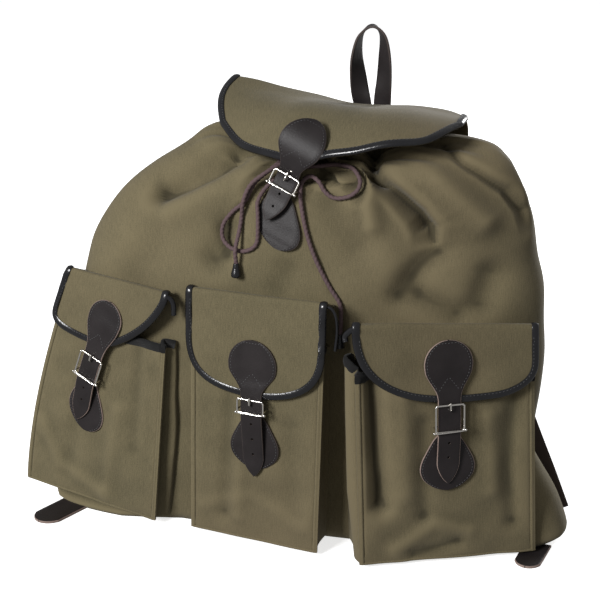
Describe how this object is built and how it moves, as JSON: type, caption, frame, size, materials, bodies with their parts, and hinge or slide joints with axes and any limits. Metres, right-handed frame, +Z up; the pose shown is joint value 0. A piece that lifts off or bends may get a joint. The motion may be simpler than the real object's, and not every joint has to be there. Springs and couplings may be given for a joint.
{
  "type": "hunting rucksack",
  "caption": "Soft canvas hunting rucksack with a strapped lid, buckled front pockets, drawcord mouth, leather trim, hanging loop and shoulder straps, standing upright.",
  "frame": {"origin": "on the floor, in the flat base of the body, near the middle of its width and depth", "axes": "+X to the bag's right as seen from the front, -Y towards the pockets, +Y towards the wearer's back, +Z up"},
  "size_m": [0.566, 0.228, 0.5062],
  "materials": {
    "canvas": "olive green cotton canvas, matt, fine upright weave",
    "leather": "dark brown leather, satin",
    "leather_binding": "near black leather binding, semi-gloss",
    "mouth_tape": "black woven tape",
    "nickel": "bright nickel-plated wire",
    "cord": "purplish brown two-ply cord"
  },
  "bodies": {
    "root": {"bag_body": "canvas", "left_pocket": "canvas", "centre_pocket": "canvas", "right_pocket": "canvas", "left_flap": "canvas", "centre_flap": "canvas", "right_flap": "canvas", "lid": "canvas", "lid_binding": "leather_binding", "left_flap_binding": "leather_binding", "centre_flap_binding": "leather_binding", "right_flap_binding": "leather_binding", "left_mouth_binding": "mouth_tape", "centre_mouth_binding": "mouth_tape", "right_mouth_binding": "mouth_tape", "lid_strap": "leather", "lid_catch": "leather", "left_strap": "leather", "left_catch": "leather", "centre_strap": "leather", "centre_catch": "leather", "right_strap": "leather", "right_catch": "leather", "hanging_loop": "leather", "back_patch": "leather", "left_shoulder_strap": "leather", "right_shoulder_strap": "leather", "left_lower_strap": "leather", "right_lower_strap": "leather", "left_corner_tab": "leather", "right_corner_tab": "leather", "lid_buckle": "nickel", "lid_prong": "nickel", "left_buckle": "nickel", "left_prong": "nickel", "centre_buckle": "nickel", "centre_prong": "nickel", "right_buckle": "nickel", "right_prong": "nickel", "left_strap_buckle": "nickel", "left_strap_prong": "nickel", "right_strap_buckle": "nickel", "right_strap_prong": "nickel", "left_drawcord": "cord", "right_drawcord": "cord", "left_cord_end": "leather", "right_cord_end": "leather"}
  },
  "joints": []
}
